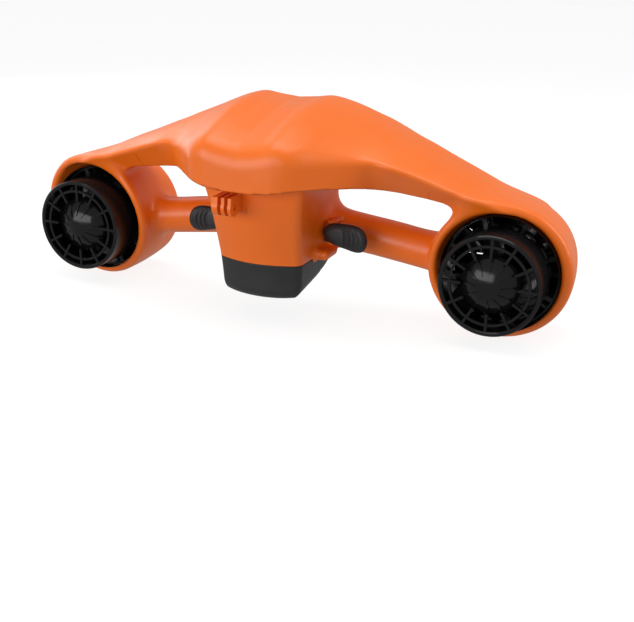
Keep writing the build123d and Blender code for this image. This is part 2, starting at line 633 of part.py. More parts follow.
# ---------------------------------------------------------------- triggers
with BuildPart() as trigger:
    with BuildSketch(Plane(origin=(PADDLE_X, PADDLE_Y, PADDLE_Z), x_dir=(1, 0, 0),
                           z_dir=(0, 1, 0))):
        RectangleRounded(PADDLE_W, PADDLE_H, 9)
    extrude(amount=PADDLE_T)
    fillet(trigger.edges().group_by(Axis.Y)[0], 3)
    with Locations(*[(PADDLE_X + step, PADDLE_Y, PADDLE_Z) for step in (1, 6, 11, 16)]):
        Box(1.2, 2, PADDLE_H - 4, mode=Mode.SUBTRACT)
    with Locations((PIVOT_X, (PADDLE_Y + PADDLE_T + PIVOT_Y) / 2 - 1, PADDLE_Z - 1.2)):
        Box(8.4, PIVOT_Y - PADDLE_Y - PADDLE_T + 2, 11.6)
    with Locations((PIVOT_X, PIVOT_Y, PADDLE_Z - 1.2)):
        Cylinder(4.2, 11.6)
        Cylinder(PIN_R + RUN, 60, mode=Mode.SUBTRACT)
save_pair(trigger, "trigger")

with BuildPart() as trigger_pin:
    with Locations((PIVOT_X, PIVOT_Y, PADDLE_Z)):
        Cylinder(PIN_R, 22.4)
    chamfer(trigger_pin.edges(), 0.3)
save_group(trigger_pin, "trigger_pins")

spring_z = PADDLE_Z + 4.9
trigger_spring = coil((PIVOT_X, PIVOT_Y, spring_z), (0, 0, 1), 2.9, 2.5, 0.3, 3)
save_group(trigger_spring, "trigger_springs")

with BuildPart() as trigger_magnet:
    with Locations(axis_plane(PADDLE_Y + PADDLE_T + 1, PADDLE_X + 14, PADDLE_Z).location):
        Cylinder(2.5, 2)
save_pair(trigger_magnet, "trigger_magnet")

# ---------------------------------------------------------------- camera mount
NUT_PRONG = 5.4
prong_pitch = PRONG_T + PRONG_GAP
with BuildPart() as camera_mount:
    for step in (-1, 0, 1):
        outer = PRONG_X + step * prong_pitch
        thick = NUT_PRONG if step < 0 else PRONG_T
        start = outer + PRONG_T / 2 - thick if step < 0 else outer - PRONG_T / 2
        with BuildSketch(Plane.YZ.offset(start)):
            with BuildLine():
                Polyline((PRONG_Y - 7.0, PRONG_Z - 2), (PRONG_Y - 6.2, PRONG_Z + 8.8),
                         (-26, PRONG_Z + 9.5), (-26, PRONG_Z - 7), (PRONG_Y + 6, PRONG_Z - 5),
                         close=True)
            make_face()
            with Locations((PRONG_Y, PRONG_Z)):
                Circle(PRONG_R)
        extrude(amount=thick)
    with Locations((PRONG_X, -31, PRONG_Z + 1)):
        Box(3 * prong_pitch + 3, 10, 17)
    with Locations(Location((PRONG_X, PRONG_Y, PRONG_Z), (0, 90, 0))):
        Cylinder(PRONG_HOLE, 40, mode=Mode.SUBTRACT)
    nut_x = PRONG_X - prong_pitch + PRONG_T / 2 - NUT_PRONG
    with BuildSketch(Plane.YZ.offset(nut_x)):
        with Locations((PRONG_Y, PRONG_Z)):
            RegularPolygon(4.65, 6)
    extrude(amount=3.2, mode=Mode.SUBTRACT)
    add(pod_outer.part, mode=Mode.SUBTRACT)
    add(wing_outer.part, mode=Mode.SUBTRACT)
save(camera_mount, "camera_mount")

with BuildPart() as mount_nut:
    with BuildSketch(Plane.YZ.offset(nut_x + 0.2)):
        with Locations((PRONG_Y, PRONG_Z)):
            RegularPolygon(4.6, 6)
            Circle(PRONG_HOLE - 0.3, mode=Mode.SUBTRACT)
    extrude(amount=3)
save(mount_nut, "mount_nut")

# ---------------------------------------------------------------- switch and window at the rear
save(turned([(0, 52), (BEZEL_R - 0.1, 52), (BEZEL_R - 0.1, 71), (BEZEL_R - 1, 71.8),
             (BUTTON_R + 0.1, 71.8), (BUTTON_R + 0.1, 65), (10.2, 65), (10.2, 54), (0, 54)],
            x=0, z=BUTTON_Z), "switch_body")
save(turned([(0, 62.8), (9.8, 62.8), (9.8, 64.9), (BUTTON_R, 64.9), (BUTTON_R, 72.2),
             (BUTTON_R - 1, 73), (0, 73)], x=0, z=BUTTON_Z), "power_button")
save(coil((0, 54.05, BUTTON_Z), (0, 1, 0), 8.7, 5.0, 0.35, 5), "button_spring")

with BuildPart() as status_window:
    with BuildSketch(Plane(origin=(0, 60, LED_Z), x_dir=(1, 0, 0), z_dir=(0, 1, 0))):
        SlotOverall(LED_W - 0.2, LED_H - 0.2)
    extrude(amount=30)
    add(wing_outer.part, mode=Mode.INTERSECT)
save(status_window, "status_window")

# ---------------------------------------------------------------- electronics and filling
with BuildPart() as control_board:
    with Locations((0, 20, BOARD_Z + 0.8)):
        Box(86, 46, 1.6)
    with Locations((-18, 22, BOARD_Z + 2.6), (18, 22, BOARD_Z + 2.6)):
        Box(14, 14, 2)
    with Locations((0, 6, BOARD_Z + 4.1), (0, 30, BOARD_Z + 3.1)):
        Box(20, 8, 5)
    with Locations(*[(x, y, BOARD_Z) for x, y in BOARD_POSTS]):
        Cylinder(SCREW_R + 0.2, 10, mode=Mode.SUBTRACT)
save(control_board, "control_board")

with BuildPart() as board_screws:
    for x, y in BOARD_POSTS:
        with Locations((x, y, BOARD_Z - 2)):
            Cylinder(SCREW_R, 7.2)
        with Locations((x, y, BOARD_Z + 2.6)):
            Cylinder(HEAD_R, 2)
save(board_screws, "board_screws")

with BuildPart() as floor_screws:
    for x, y in FLOOR_SCREWS:
        base = floor_z(x, y)
        with Locations((x, y, base + 7.5)):
            Cylinder(SCREW_R, 12)
        with Locations((x, y, base + 0.8)):
            Cylinder(HEAD_R, 1.6)
save(floor_screws, "floor_screws")

with BuildPart() as foam:
    add(wing_loft(WING[:-1], inset=WALL + 2.5, drop=-7.0).part)
    with Locations((102, 20, 90)):
        Box(80, 200, 120, mode=Mode.INTERSECT)
    for x, y in FLOOR_SCREWS[3:]:
        with Locations((x, y, 90)):
            Cylinder(4.6, 120, mode=Mode.SUBTRACT)
save_group(foam, "foam")

with BuildPart() as motor_cable:
    with BuildLine() as route:
        Spline((12, CABLE_Y, BOARD_Z - 6), (13, CABLE_Y, 50), (26, 48, 24), (45, 49.8, 18.2),
               (80, 57.0, 12.9), (120, BAR_Y, 7.2), (147, BAR_Y, 4.4))
    with BuildSketch(Plane(origin=route.line @ 0, z_dir=route.line % 0)):
        Circle(2.4)
    sweep()
save_pair(motor_cable, "motor_cable")
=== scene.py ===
import bpy, json, math
import numpy as np
from mathutils import Matrix, Vector


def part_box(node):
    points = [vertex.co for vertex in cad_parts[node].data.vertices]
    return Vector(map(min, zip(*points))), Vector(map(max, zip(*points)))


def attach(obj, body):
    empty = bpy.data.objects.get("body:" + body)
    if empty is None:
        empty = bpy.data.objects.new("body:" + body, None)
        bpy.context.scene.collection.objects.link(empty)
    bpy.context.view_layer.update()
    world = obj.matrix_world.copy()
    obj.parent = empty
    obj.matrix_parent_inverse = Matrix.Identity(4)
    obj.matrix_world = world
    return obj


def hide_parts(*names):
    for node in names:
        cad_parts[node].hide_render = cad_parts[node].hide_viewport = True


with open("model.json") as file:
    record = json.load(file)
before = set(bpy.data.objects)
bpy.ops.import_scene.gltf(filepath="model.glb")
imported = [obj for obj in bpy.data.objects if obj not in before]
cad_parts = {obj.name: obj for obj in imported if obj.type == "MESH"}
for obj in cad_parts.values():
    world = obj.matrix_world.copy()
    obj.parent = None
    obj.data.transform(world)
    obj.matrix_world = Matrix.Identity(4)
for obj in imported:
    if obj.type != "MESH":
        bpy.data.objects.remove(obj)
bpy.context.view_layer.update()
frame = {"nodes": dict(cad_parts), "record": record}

MM = 0.001
# Shapes are worked out in millimetres from a datum, the point midway between the thruster axes
# in the plane of the front guards' rims, and moved into the frame when they are meshed.
guard_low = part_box("guard_front_left")[0]
shaft_low, shaft_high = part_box("shaft_left")
AXIS_Z = (shaft_low[2] + shaft_high[2]) / 2 / MM
HALF_SPAN = (shaft_low[0] + shaft_high[0]) / 2 / MM
DOME_PEAK = -3.9            # how far the guards' domes stand out in front of that plane
DATUM_Y = guard_low[1] / MM - DOME_PEAK
DATUM = np.array([0.0, DATUM_Y, AXIS_Z])


# ------------------------------------------------------------------ fields
# A field takes p = (x, y, z) arrays and gives about the distance outside a shape, negative
# inside it. A field for a hole is the shape of the hole with its sign changed.
def smooth_min(a, b, k):
    h = np.clip(0.5 + 0.5 * (b - a) / k, 0, 1)
    return b + (a - b) * h - k * h * (1 - h)


def smooth_max(a, b, k):
    return -smooth_min(-a, -b, k)


def smooth_step(x, low, high):
    t = np.clip((x - low) / (high - low), 0, 1)
    return t * t * (3 - 2 * t)


def curve(points):
    """A smooth curve through (x, value) points, with each point's slope from its neighbours."""
    xs = np.array([p[0] for p in points], float)
    ys = np.array([p[1] for p in points], float)
    slope = np.gradient(ys, xs)

    def value(x):
        x = np.clip(x, xs[0], xs[-1])
        i = np.clip(np.searchsorted(xs, x) - 1, 0, len(xs) - 2)
        h = xs[i + 1] - xs[i]
        t = (x - xs[i]) / h
        a, b, m, n = ys[i], ys[i + 1], slope[i] * h, slope[i + 1] * h
        return (a * (2 * t**3 - 3 * t**2 + 1) + b * (3 * t**2 - 2 * t**3)
                + m * (t**3 - 2 * t**2 + t) + n * (t**3 - t**2))
    return value


# Wing stations: distance from the centre, Y and Z of lip, keel, tail and crest, how far the
# top swells above the line from lip to crest, and how softly the lip is rounded
WING = [
    (0, -57, 100.0, -57, 67, 64, 72, 73, 128.6, 8.5, 13),
    (18, -57.2, 102.2, -57, 67.5, 64, 72, 73, 130.2, 9, 13),
    (33, -56.5, 104.7, -56, 69.3, 64, 72, 73, 131.8, 9.5, 12),
    (48, -50.5, 100.7, -48.5, 71.5, 66, 72, 76.5, 128.6, 8.5, 10),
    (60, -36.5, 97.4, -35, 71, 68, 72, 80, 124.2, 8, 8),
    (72, -22, 95.2, -20.5, 70, 70, 71.5, 82.5, 119.2, 7.2, 6),
    (85, -9.3, 93, -4.6, 68.6, 72, 71, 85, 113.8, 6.5, 5),
    (97, -3.6, 91.5, 11, 65.8, 72.5, 69, 85.5, 108.2, 6.3, 5),
    (110, -3, 88.6, 21, 63, 73, 67, 85, 102.0, 5.8, 5),
    (125, 2, 83.9, 22.5, 61.3, 72.5, 64.5, 83.5, 96.2, 5.3, 5),
    (140, 5, 78.8, 23.5, 59.5, 72, 61.5, 81.5, 90.0, 4.8, 5),
    (165, 7.2, 70.6, 25, 55.5, 71, 57, 77.5, 80.2, 4, 5),
    (190, 15.6, 63.0, 31, 52, 70, 53, 76, 68.6, 3, 4),
    (222, 34, 46, 40, 44, 66, 43, 73, 50, 2, 3),
]
WING_TIP, TIP_ROUND = 227, 16
TOP_SLOPE = 0.85            # makes height above the sloping top into about a distance
REAR_BULGE = 2.0            # the back stands this far behind the line from crest to tail
lip_y, lip_z, keel_y, keel_z, tail_y, tail_z, crest_y, crest_z, swell, lip_round = [
    curve([(row[0], row[i]) for row in WING]) for i in range(1, 11)]


def half_plane(y, z, ay, az, by, bz):
    """Signed distance from the line a-b in a section, positive on its left."""
    dy, dz = by - ay, bz - az
    size = np.sqrt(dy * dy + dz * dz) + 1e-9
    return (dy * (z - az) - dz * (y - ay)) / size


def wing_top(x, y):
    """Height of the wing's top over (x, y)."""
    ly, lz, cy, cz = lip_y(x), lip_z(x), crest_y(x), crest_z(x)
    s = (y - ly) / (cy - ly)
    bump = 1 - (2 * np.clip(s, 0, 1) - 1) ** 2
    beyond = np.clip(s, -0.5, 0) * 4 * swell(x) + np.clip(s - 1, 0, 0.5) * -4 * swell(x)
    return lz + (cz - lz) * s + swell(x) * bump + beyond


def wing(p):
    x, y, z = np.abs(p[0]), p[1], p[2]
    ly, lz, ky, kz = lip_y(x), lip_z(x), keel_y(x), keel_z(x)
    ty, tz, cy, cz = tail_y(x), tail_z(x), crest_y(x), crest_z(x)
    top = (z - wing_top(x, y)) * TOP_SLOPE
    sweep = (keel_y(x + 2) + lip_y(x + 2) - keel_y(x - 2) - lip_y(x - 2)) / 8
    fascia = half_plane(y, z, ky, kz, ly, lz) / np.sqrt(1 + sweep**2)
    floor = half_plane(y, z, ty, tz, ky, kz)
    rear = half_plane(y, z, cy, cz, ty, tz) - REAR_BULGE
    f = smooth_max(top, fascia, lip_round(x))
    f = smooth_max(f, rear, np.minimum(8, 0.3 * (cz - kz)))
    f = smooth_max(f, floor, 1.2)
    return smooth_max(f, x - WING_TIP, TIP_ROUND)


# Shrouds: from the tilted lip at LIP_Y to the rear edge
LIP_Y, REAR_Y, LIP_X, LIP_RISE = 28, 98, 201, 3.5
LIP_YAW, LIP_RAKE = math.tan(math.radians(7)), math.tan(math.radians(7.5))


def shroud_outer(p):
    x, y, z = np.abs(p[0]), p[1], p[2]
    t = (y - LIP_Y) / (REAR_Y - LIP_Y)
    cx, cz = LIP_X - t, LIP_RISE - 4.2 * t + 0.7 * t * t
    t = np.clip(t, -0.2, 1.1)
    radius = 60.2 - 0.6 * t - 5.6 * t * t
    side = np.hypot(x - cx, z - cz) - radius
    front = -((y - LIP_Y) - LIP_YAW * (x - LIP_X) + LIP_RAKE * (z - LIP_RISE))
    f = smooth_max(side, front / math.sqrt(1 + LIP_YAW**2 + LIP_RAKE**2), 7)
    return smooth_max(f, y - REAR_Y, 5)


def shroud_bore(p):
    x, y, z = np.abs(p[0]), p[1], p[2]
    t = smooth_step(y, 26, 44)
    cx, cz = LIP_X - t, LIP_RISE * (1 - t)
    return np.hypot(x - cx, z - cz) - (52.5 - 1.75 * t)


# Pod: half width, front and how far the front bulges, all against height
POD_REAR, POD_CORNER = 61.0, 5.0
pod_half = curve([(-42, 36.4), (-2, 39.6), (30, 41.6), (52, 44.2), (66, 47), (80, 48)])
pod_front = curve([(-42, -12), (-2, -14), (30, -22), (62, -29), (80, -32)])
pod_bulge = curve([(-42, 10), (-2, 11), (30, 11), (62, 8), (80, 6)])


def pod(p, inset=0.0):
    x, y, z = np.abs(p[0]), p[1], p[2]
    half, front, bulge = pod_half(z) - inset, pod_front(z) + inset, pod_bulge(z)
    rear = POD_REAR - inset
    toward_front = 1 - smooth_step(y, -10, 40)
    y = y + bulge * (1 - np.clip(x / half, 0, 1.2) ** 2) * toward_front
    middle, reach = (front + rear) / 2, (rear - front) / 2
    qx, qy = x - half + POD_CORNER, np.abs(y - middle) - reach + POD_CORNER
    return (np.hypot(np.maximum(qx, 0), np.maximum(qy, 0))
            + np.minimum(np.maximum(qx, qy), 0) - POD_CORNER) * 0.97


# Hand bars: centre line and radius against distance from the centre plane
bar_y = curve([(36, 43), (52, 50.5), (68, 56), (100, 59), (130, 59), (152, 59)])
bar_z = curve([(36, 22), (52, 18), (68, 14.5), (100, 9.8), (130, 5.8), (152, 4)])
bar_r = curve([(36, 18), (52, 17.4), (68, 17), (100, 17), (130, 17), (152, 18.2)])


def bar(p):
    x, y, z = np.abs(p[0]), p[1], p[2]
    side = np.hypot(y - bar_y(x), z - bar_z(x)) - bar_r(x)
    return smooth_max(smooth_max(side, 26 - x, 2), x - 165, 2)


def box_field(p, centre, size, radius):
    q = [np.abs(a - c) - s / 2 + radius for a, c, s in zip(p, centre, size)]
    outside = np.sqrt(sum(np.maximum(a, 0) ** 2 for a in q))
    return outside + np.minimum(np.maximum(np.maximum(q[0], q[1]), q[2]), 0) - radius


def mirrored(p):
    return [np.abs(p[0]), p[1], p[2]]


def rod_field(p, x, y, z, radius, half):
    """An upright cylinder."""
    return np.maximum(np.hypot(p[0] - x, p[1] - y) - radius, np.abs(p[2] - z) - half)


def floor_line(p):
    """Height over the wing's underside."""
    x, y, z = np.abs(p[0]), p[1], p[2]
    ky, kz, ty, tz = keel_y(x), keel_z(x), tail_y(x), tail_z(x)
    return z - (kz + (tz - kz) * np.clip((y - ky) / (ty - ky), 0, 1))


PIVOT = (51.5, 26.0, 20.2)  # trigger pin
PARTING = -2.0              # top of the battery case
TAB_Y, TAB_Z = 34.0, 8.0    # where it steps up at the rear, and how high


def lugs(p):
    """The two plates that hold each trigger's pin."""
    q = mirrored(p)
    side = np.minimum(box_field(q, (PIVOT[0], PIVOT[1] + 10, PIVOT[2]), (9, 20, 60), 0.5),
                      np.hypot(q[0] - PIVOT[0], q[1] - PIVOT[1]) - 4.5)
    return smooth_max(side, np.abs(np.abs(q[2] - PIVOT[2]) - 9.5) - 1.5, 0.8)


def lower(p):
    """Pod, hand bars and the ledges under the triggers, blended together."""
    f = smooth_min(pod(p), bar(p), 18)
    f = smooth_min(f, box_field(mirrored(p), (42, 25, 1.0), (22, 26, 9), 4), 6)
    f = smooth_max(f, floor_line(p) - 1.8, 1)
    q = mirrored(p)
    f = smooth_max(f, -rod_field(q, *PIVOT, 7.6, 8.0), 1)
    return np.minimum(f, lugs(p))


def body(p):
    """The whole orange body, before it is cut into its mouldings."""
    f = smooth_min(wing(p), shroud_outer(p), 16)
    f = smooth_min(f, smooth_min(bar(p), shroud_outer(p), 12), 1)
    f = smooth_min(f, lower(p), 2)
    return smooth_max(f, -shroud_bore(p), 4.5)


def battery_cut(p, top=0.0):
    """Height over the top of the battery case, where the pod starts."""
    y, z = p[1], p[2]
    step = PARTING + (TAB_Z - PARTING) * np.clip((y - TAB_Y + 4) / 4, 0, 1)
    return (z - step) * 0.8 - top


def battery(p):
    """The battery case's outside."""
    x, y, z = np.abs(p[0]), p[1], p[2]
    base = -35 + np.where(y > -14, (y + 14) * 10 / 58, (y + 14) * 1.5 / 26)
    chamfer = half_plane(y, z, 64, -12, 44, -24)
    f = smooth_max(pod(p), (base - z) * 0.98, 11)
    f = smooth_max(f, chamfer, 9)
    f = smooth_max(f, battery_cut(p, -0.12), 0.6)
    slit = box_field((x, y, z), (39.5, 41, -20.8), (6, 13, 2.2), 0.8)
    return smooth_max(f, -slit, 0.5)


# ------------------------------------------------------------------ meshing
CORNERS = [(i, j, k) for i in (0, 1) for j in (0, 1) for k in (0, 1)]
EDGES = [(a, b) for a in range(8) for b in range(a + 1, 8)
         if sum(abs(u - v) for u, v in zip(CORNERS[a], CORNERS[b])) == 1]


def surface_net(values, low, cell):
    """Vertices and quads of the surface where a field on a grid is zero."""
    n = np.array(values.shape) - 1
    part = [values[i:n[0] + i, j:n[1] + j, k:n[2] + k] for i, j, k in CORNERS]
    count = sum((v < 0).astype(np.int8) for v in part)
    mixed = (count > 0) & (count < 8)
    where = np.argwhere(mixed)
    number = np.full(mixed.shape, -1, np.int64)
    number[mixed] = np.arange(len(where))
    corner = [v[mixed] for v in part]
    total, hits = np.zeros((len(where), 3)), np.zeros(len(where))
    for a, b in EDGES:
        cross = (corner[a] < 0) != (corner[b] < 0)
        t = np.where(cross, corner[a] / np.where(cross, corner[a] - corner[b], 1), 0)
        start, step = np.array(CORNERS[a]), np.array(CORNERS[b]) - np.array(CORNERS[a])
        total += cross[:, None] * (start + t[:, None] * step)
        hits += cross
    verts = low + cell * (where + total / hits[:, None])
    quads = []
    for axis in range(3):
        u, v = [a for a in range(3) if a != axis]
        near = [slice(None)] * 3
        far = [slice(None)] * 3
        near[axis], far[axis] = slice(0, -1), slice(1, None)
        inside = values < 0
        change = inside[tuple(near)] != inside[tuple(far)]
        for a in (u, v):            # an edge on the grid's border has no ring of cells
            edge = [slice(None)] * 3
            edge[a] = [0, -1]
            change[tuple(edge)] = False
        at = np.argwhere(change)
        ring = []
        for du, dv in ((-1, -1), (0, -1), (0, 0), (-1, 0)):
            cellat = at.copy()
            cellat[:, u] += du
            cellat[:, v] += dv
            ring.append(number[tuple(cellat.T)])
        quad = np.stack(ring, 1)
        flip = inside[tuple(near)][tuple(at.T)]
        if axis == 1:
            flip = ~flip
        quad[~flip] = quad[~flip][:, ::-1]
        quads.append(quad)
    return verts, np.concatenate(quads)


def gradients(verts, fields, eps=0.05):
    """Each field's gradient at each vertex."""
    grad = np.zeros((len(fields), len(verts), 3))
    for axis in range(3):
        step = np.zeros(3)
        step[axis] = eps
        for i, f in enumerate(fields):
            grad[i, :, axis] = (f((verts + step).T) - f((verts - step).T)) / (2 * eps)
    return grad


def settle(verts, fields, cell):
    """Move vertices onto the surface, and onto the sharp line where two fields meet."""
    for _ in range(5):
        value = np.stack([f(verts.T) for f in fields])
        active = (value > value.max(0) - 0.6 * cell) & (np.abs(value) < 1.2 * cell)
        grad = gradients(verts, fields) * active[:, :, None]
        res = np.where(active, value, 0)
        gram = np.einsum("iva,jva->vij", grad, grad) + 1e-3 * np.eye(len(fields))
        push = np.einsum("iva,vi->va", grad, np.linalg.solve(gram, res.T[:, :, None])[:, :, 0])
        size = np.linalg.norm(push, axis=1, keepdims=True)
        verts = verts - push * np.minimum(1, 0.5 * cell / (size + 1e-9))
    return verts


def new_mesh(name, verts, faces):
    """A mesh object from millimetres about the datum."""
    mesh = bpy.data.meshes.new(name)
    mesh.from_pydata(((verts + DATUM) * MM).tolist(), [], faces.tolist())
    mesh.update()
    obj = bpy.data.objects.new(name, mesh)
    bpy.context.scene.collection.objects.link(obj)
    return obj


def shape(name, fields, low, high, cell, mirror=False):
    """A closed piece: the intersection of several fields, meshed inside a box, with each
    corner's shading normal taken from the field that its face lies on."""
    low, high = np.array(low, float) - 2.2 * cell, np.array(high, float) + 2.2 * cell
    n = np.ceil((high - low) / cell).astype(int) + 1
    axes = [low[i] + cell * np.arange(n[i]) for i in range(3)]
    grid = np.meshgrid(*axes, indexing="ij")
    values = fields[0](grid)
    for f in fields[1:]:
        values = np.maximum(values, f(grid))
    verts, faces = surface_net(values, low, cell)
    verts = settle(verts, fields, cell)
    centre = verts[faces].mean(1)
    on = np.argmax(np.stack([f(centre.T) for f in fields]), 0)
    normal = gradients(verts, fields)
    normal /= np.linalg.norm(normal, axis=2, keepdims=True) + 1e-9
    loops = normal[on[:, None], faces]
    if mirror:
        flip = np.array([-1, 1, 1])
        verts, faces, loops = verts * flip, faces[:, ::-1], loops[:, ::-1] * flip
    obj = new_mesh(name, verts, faces)
    obj.data.shade_smooth()
    if len(obj.data.polygons) == len(faces):
        obj.data.normals_split_custom_set(loops.reshape(-1, 3).tolist())
    return obj


# ------------------------------------------------------------------ camera, light and floor
camera_data = bpy.data.cameras.new("camera")
camera_data.sensor_width = 36.0
camera_data.lens = 56.46
camera_data.clip_start = 0.01
camera = bpy.data.objects.new("camera", camera_data)
bpy.context.scene.collection.objects.link(camera)
CAMERA_RIGHT = (0.91739458, 0.39755652, 0.01833036)
CAMERA_UP = (-0.15564839, 0.31601958, 0.93589807)
CAMERA_BACK = (0.36627963, -0.86144091, 0.35179368)
turn = Matrix((CAMERA_RIGHT, CAMERA_UP, CAMERA_BACK)).transposed().to_4x4()
place = (0.370498, -0.754948 + DATUM_Y * MM, 0.262600 + AXIS_Z * MM)
camera.matrix_world = Matrix.Translation(place) @ turn
bpy.context.scene.camera = camera


def softbox(name, place, aim_z, width, height, power):
    """A rectangular light that points at the centre plane, at height aim_z."""
    light = bpy.data.lights.new(name, "AREA")
    light.shape, light.size, light.size_y = "RECTANGLE", width, height
    light.energy = power
    obj = bpy.data.objects.new(name, light)
    bpy.context.scene.collection.objects.link(obj)
    obj.location = place
    aim = Vector((0, 0, aim_z)) - Vector(place)
    obj.rotation_euler = aim.to_track_quat("-Z", "Y").to_euler()


softbox("light_top", (0.0, 0.0, 1.5), 0.1, 1.5, 1.2, 13.8)
softbox("light_left", (-1.3, 0.5, 0.5), 0.1, 1.2, 1.4, 6.5)
softbox("light_right", (1.35, 0.45, 0.6), 0.1, 0.6, 1.0, 8)
softbox("light_front", (-0.5, -1.3, 0.36), 0.08, 1.6, 0.6, 11)

bpy.context.scene.view_settings.view_transform = "Standard"
world = bpy.data.worlds.new("studio")
bpy.context.scene.world = world
world.use_nodes = True
backdrop = world.node_tree.nodes["Background"]
backdrop.inputs["Color"].default_value = (1.0, 1.0, 1.0, 1)
backdrop.inputs["Strength"].default_value = 0.42

floor_mesh = bpy.data.meshes.new("studio_floor")
SWEEP = [(0.01, 0), (5, 0), (6.2, 0.15), (7.2, 0.6), (8, 1.6), (8.4, 3.2), (8.5, 9)]
ROUND, STEPS = 64, len(SWEEP)   # the floor curves up into a wall, so no horizon shows
floor_verts, floor_faces = [], []
for i in range(ROUND):
    a, near, far = math.tau * i / ROUND, STEPS * i, STEPS * ((i + 1) % ROUND)
    floor_verts += [(r * math.cos(a), r * math.sin(a), h) for r, h in SWEEP]
    floor_faces += [(near + j, near + j + 1, far + j + 1, far + j) for j in range(STEPS - 1)]
floor_faces.append(tuple(STEPS * i for i in reversed(range(ROUND))))
floor_mesh.from_pydata(floor_verts, [], floor_faces)
studio_floor = bpy.data.objects.new("studio_floor", floor_mesh)
bpy.context.scene.collection.objects.link(studio_floor)
# seen only by the camera, so that it throws no white glare on the orange
studio_floor.visible_diffuse = False
studio_floor.visible_glossy = False
studio_floor.visible_shadow = False


# ------------------------------------------------------------------ materials
def finish_material(name, colour, roughness, vary=0.06, vary_scale=14.0, grain=900.0,
                    grain_depth=0.02, rough_vary=0.08, metallic=0.0, specular=0.5, coat=0.0,
                    waves=0.0, wave_scale=0.0, scuff=0.0):
    """A moulded or metal finish: slow colour drift, a fine grain in bump and roughness,
    sparse scuffs, and an optional machined or woven wave."""
    material = bpy.data.materials.new(name)
    material.use_nodes = True
    nodes, links = material.node_tree.nodes, material.node_tree.links
    shader = nodes["Principled BSDF"]
    place = nodes.new("ShaderNodeTexCoord").outputs["Object"]

    def noise(scale, detail, rough=0.5):
        node = nodes.new("ShaderNodeTexNoise")
        node.inputs["Scale"].default_value = scale
        node.inputs["Detail"].default_value = detail
        node.inputs["Roughness"].default_value = rough
        links.new(place, node.inputs["Vector"])
        return node.outputs["Fac"]

    def ramp(source, low, high, out_low, out_high):
        node = nodes.new("ShaderNodeMapRange")
        for socket, value in zip(("From Min", "From Max", "To Min", "To Max"),
                                 (low, high, out_low, out_high)):
            node.inputs[socket].default_value = value
        links.new(source, node.inputs["Value"])
        return node.outputs["Result"]

    def mix(factor, a, b):
        node = nodes.new("ShaderNodeMix")
        node.data_type = "RGBA"
        links.new(factor, node.inputs["Factor"])
        for socket, value in ((node.inputs[6], a), (node.inputs[7], b)):
            if hasattr(value, "is_linked"):
                links.new(value, socket)
            else:
                socket.default_value = (*value, 1)
        return node.outputs[2]

    drift = ramp(noise(vary_scale, 4), 0.3, 0.7, 0, 1)
    dark = tuple(c * (1 - vary) for c in colour)
    light = tuple(min(1, c * (1 + vary) + 0.01 * vary) for c in colour)
    tint = mix(drift, dark, light)
    rough = ramp(noise(vary_scale * 3.1, 5, 0.6), 0.3, 0.7, roughness - rough_vary,
                 roughness + rough_vary)
    if scuff:
        scratches = ramp(noise(vary_scale * 9, 8, 0.75), 0.60, 0.72, 0, scuff)
        pale = tuple(c + (0.75 - c) * 0.25 for c in colour)
        tint = mix(scratches, tint, pale)
    links.new(tint, shader.inputs["Base Color"])
    links.new(rough, shader.inputs["Roughness"])
    shader.inputs["Metallic"].default_value = metallic
    shader.inputs["Specular IOR Level"].default_value = specular
    shader.inputs["Coat Weight"].default_value = coat
    shader.inputs["Coat Roughness"].default_value = 0.1
    height = noise(grain, 2)
    if waves:
        wave = nodes.new("ShaderNodeTexWave")
        wave.inputs["Scale"].default_value = wave_scale
        wave.inputs["Distortion"].default_value = 1.5
        links.new(place, wave.inputs["Vector"])
        both = nodes.new("ShaderNodeMath")
        both.operation = "MULTIPLY_ADD"
        both.inputs[1].default_value = waves
        links.new(wave.outputs["Fac"], both.inputs[0])
        links.new(height, both.inputs[2])
        height = both.outputs[0]
    bump = nodes.new("ShaderNodeBump")
    bump.inputs["Strength"].default_value = grain_depth * 10
    bump.inputs["Distance"].default_value = 0.0001
    links.new(height, bump.inputs["Height"])
    links.new(bump.outputs["Normal"], shader.inputs["Normal"])
    return material


